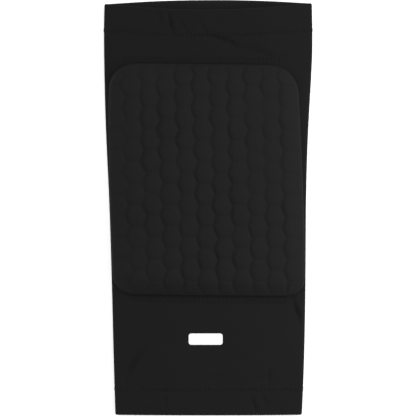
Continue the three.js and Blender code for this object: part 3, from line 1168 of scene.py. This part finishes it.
def sew(bm, places, stitch):
    """Copies a stitch to each place, which has a point, a normal and the way across the row."""
    first = bm.verts[:]
    seed = first + bm.edges[:] + bm.faces[:]
    for count, (point, normal, across) in enumerate(places):
        lean = stitch.slant if count % 2 else -stitch.slant
        along = across.cross(normal).normalized()
        across = normal.cross(along)
        axes = Matrix((along, across, normal)).transposed().to_4x4()
        turned = Matrix.Translation(point) @ axes @ Matrix.Rotation(lean, 4, "Z")
        copy = bmesh.ops.duplicate(bm, geom=seed)["geom"]
        bmesh.ops.transform(bm, matrix=turned, verts=verts_in(copy))
    bmesh.ops.delete(bm, geom=first, context="VERTS")


def row_places(tree, row, pitch, side):
    """Places for stitches along a row of the front, 1, or of the back, -1, which bends the other way."""
    count = round(2 * row.reach / pitch)
    bent = row._replace(bend=side * row.bend)
    places = []
    for step in range(count + 1):
        x = row.middle + (2 * step / count - 1) * row.reach
        point, normal = seen_from(side, tree, x, row_line(bent, x))
        places.append((point, normal, Vector((0, 1, 0))))
    return places


def fold_places(tree, row):
    """Places for stitches of a row round the two side folds."""
    places = []
    for side in (-1, 1):
        middle = Vector((row.middle + side * row.reach, row.y, SIDE_FOLD_HEIGHT / 2))
        for angle in FOLD_STITCH_ANGLES:
            turn = math.radians(angle)
            out = Vector((side * math.cos(turn), 0, math.sin(turn)))
            point, normal, _, _ = tree.ray_cast(middle + out * FOLD_RAY, -out)
            places.append((point, normal, Vector((0, 1, 0))))
    return places


class KNEE_SLEEVE_OT_stitches(bpy.types.Operator):
    """Sew the rows of stitches of the hems and beside the pad."""

    bl_idname = "knee_sleeve.stitches"
    bl_label = "Stitches"

    def execute(self, context):
        stitch = context.scene.knee_sleeve.stitch
        # The thread gets the same painted shade towards the thigh.
        thigh_painted_shade = context.scene.knee_sleeve.knit.thigh_painted_shade
        material = cloth_material(
            "thread_black", stitch.color, THREAD_RELIEF, *TWIST, thigh_painted_shade=thigh_painted_shade
        )
        tree = surface_tree(bpy.data.objects["sleeve_knit"])
        for name, row in stitch_rows(context.scene.knee_sleeve).items():
            places = row_places(tree, row, stitch.pitch, 1)
            if row.all_round:
                places += row_places(tree, row, stitch.pitch, -1)
                places += fold_places(tree, row)
            bm = bmesh.new()
            new_stitch(bm, stitch)
            sew(bm, places, stitch)
            piece = new_piece(bm, name, material)
            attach(piece, "root")
        return {"FINISHED"}


# Transfer


class KNEE_SLEEVE_OT_transfer(bpy.types.Operator):
    """Build the plain transfer bar below the pad."""

    bl_idname = "knee_sleeve.transfer"
    bl_label = "Transfer Bar"

    def execute(self, context):
        transfer = context.scene.knee_sleeve.transfer
        bm = bmesh.new()
        bmesh.ops.create_grid(bm, x_segments=1, y_segments=1, size=0.5)
        bmesh.ops.scale(bm, vec=(*transfer.size, 1), verts=bm.verts)
        round_off(bm, bm.verts[:], transfer.corner, 6, "VERTICES")
        for axis, size in enumerate(transfer.size):
            normal = Vector((0, 0, 0))
            normal[axis] = 1
            cuts = round(size / TRANSFER_GRID)
            for cut in range(1, cuts):
                bmesh.ops.bisect_plane(
                    bm,
                    geom=bm.verts[:] + bm.edges[:] + bm.faces[:],
                    dist=WELD,
                    plane_co=normal * (cut / cuts - 0.5) * size,
                    plane_no=normal,
                )
        top = bmesh.ops.extrude_face_region(bm, geom=bm.faces[:])["geom"]
        bmesh.ops.translate(bm, vec=(0, 0, transfer.thickness), verts=verts_in(top))
        rim = [
            edge
            for edge in bm.edges
            if len(edge.link_faces) == 2
            and edge.calc_face_angle() > 1
            and edge.verts[0].co.z > transfer.thickness / 2
        ]
        round_off(bm, rim, TRANSFER_ROUNDING, 2, "EDGES")
        bmesh.ops.recalc_face_normals(bm, faces=bm.faces)
        bmesh.ops.translate(bm, vec=(0, 0, -TRANSFER_SINK), verts=bm.verts)
        piece = new_piece(bm, "transfer_bar_print", transfer_material(transfer.color))
        tree = surface_tree(bpy.data.objects["sleeve_knit"])
        middle = Vector(transfer.middle)
        lay_on_sleeve(piece, tree, lambda point: point.xy + middle)
        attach(piece, "root")
        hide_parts("transfer_bar")
        return {"FINISHED"}


# Stage


def aim(thing, target):
    """Turns a light or camera to a point."""
    thing.rotation_euler = (target - thing.location).to_track_quat("-Z", "Y").to_euler()


class KNEE_SLEEVE_OT_stage(bpy.types.Operator):
    """Set up the floor, the light and the camera."""

    bl_idname = "knee_sleeve.stage"
    bl_label = "Stage"

    def execute(self, context):
        stage = context.scene.knee_sleeve.stage
        scene = context.scene
        scene.view_settings.view_transform = "Standard"
        paper = bpy.data.materials.new("floor_paper")
        paper.use_nodes = True
        shader = paper.node_tree.nodes["Principled BSDF"]
        shader.inputs["Base Color"].default_value = (*stage.floor_color, 1)
        shader.inputs["Roughness"].default_value = 0.9
        shader.inputs["Specular IOR Level"].default_value = 0.1
        shader.inputs["Emission Color"].default_value = (1, 1, 1, 1)
        shader.inputs["Emission Strength"].default_value = stage.floor_glow
        bm = bmesh.new()
        bmesh.ops.create_grid(bm, x_segments=2, y_segments=2, size=FLOOR_REACH)
        new_piece(bm, "floor", paper)

        world = bpy.data.worlds.new("studio")
        world.use_nodes = True
        background = world.node_tree.nodes["Background"]
        background.inputs["Color"].default_value = (1, 1, 1, 1)
        background.inputs["Strength"].default_value = stage.sky
        scene.world = world

        for name, side, power in (("right", 1, stage.right_light), ("left", -1, stage.left_light)):
            lamp = bpy.data.lights.new(name, "AREA")
            lamp.shape = "RECTANGLE"
            lamp.size, lamp.size_y = LAMP_SIZE
            lamp.energy = power
            softbox = bpy.data.objects.new(name, lamp)
            softbox.location = LAMP_PLACE * Vector((side, 1, 1))
            aim(softbox, Vector((0, 0, 0)))
            scene.collection.objects.link(softbox)

        lens = bpy.data.cameras.new("camera")
        lens.sensor_width = SENSOR_WIDTH
        lens.lens = SENSOR_WIDTH * stage.distance / stage.field
        camera = bpy.data.objects.new("camera", lens)
        camera.location = (*CAMERA_OFF, stage.distance)
        scene.collection.objects.link(camera)
        scene.camera = camera
        return {"FINISHED"}


class KNEE_SLEEVE_PT_sidebar(bpy.types.Panel):
    """Lists the settings and the steps."""

    bl_idname = "KNEE_SLEEVE_PT_sidebar"
    bl_label = "Padded Knee Sleeve"
    bl_space_type = "VIEW_3D"
    bl_region_type = "UI"
    bl_category = "Knee Sleeve"

    def draw(self, context):
        settings = context.scene.knee_sleeve
        for operator, group in zip(OPERATORS, ("knit", "pad", "stitch", "transfer", "stage")):
            box = self.layout.box()
            box.operator(operator.bl_idname)
            values = getattr(settings, group)
            for name in values.bl_rna.properties.keys():
                if name not in ("rna_type", "name"):
                    box.prop(values, name)


OPERATORS = (
    KNEE_SLEEVE_OT_tube,
    KNEE_SLEEVE_OT_pad,
    KNEE_SLEEVE_OT_stitches,
    KNEE_SLEEVE_OT_transfer,
    KNEE_SLEEVE_OT_stage,
)
CLASSES = (
    KnitSettings,
    PadSettings,
    StitchSettings,
    TransferSettings,
    StageSettings,
    KneeSleeveSettings,
    *OPERATORS,
    KNEE_SLEEVE_PT_sidebar,
)


def register():
    """Makes the settings, the operators and the panel known to Blender."""
    for item in CLASSES:
        bpy.utils.register_class(item)
    bpy.types.Scene.knee_sleeve = PointerProperty(type=KneeSleeveSettings)


def unregister():
    """Takes them away again."""
    del bpy.types.Scene.knee_sleeve
    for item in reversed(CLASSES):
        bpy.utils.unregister_class(item)


def main():
    """Builds the whole sleeve on its stage."""
    register()
    bpy.ops.knee_sleeve.tube()
    bpy.ops.knee_sleeve.pad()
    bpy.ops.knee_sleeve.stitches()
    bpy.ops.knee_sleeve.transfer()
    bpy.ops.knee_sleeve.stage()


if __name__ == "__main__":
    main()
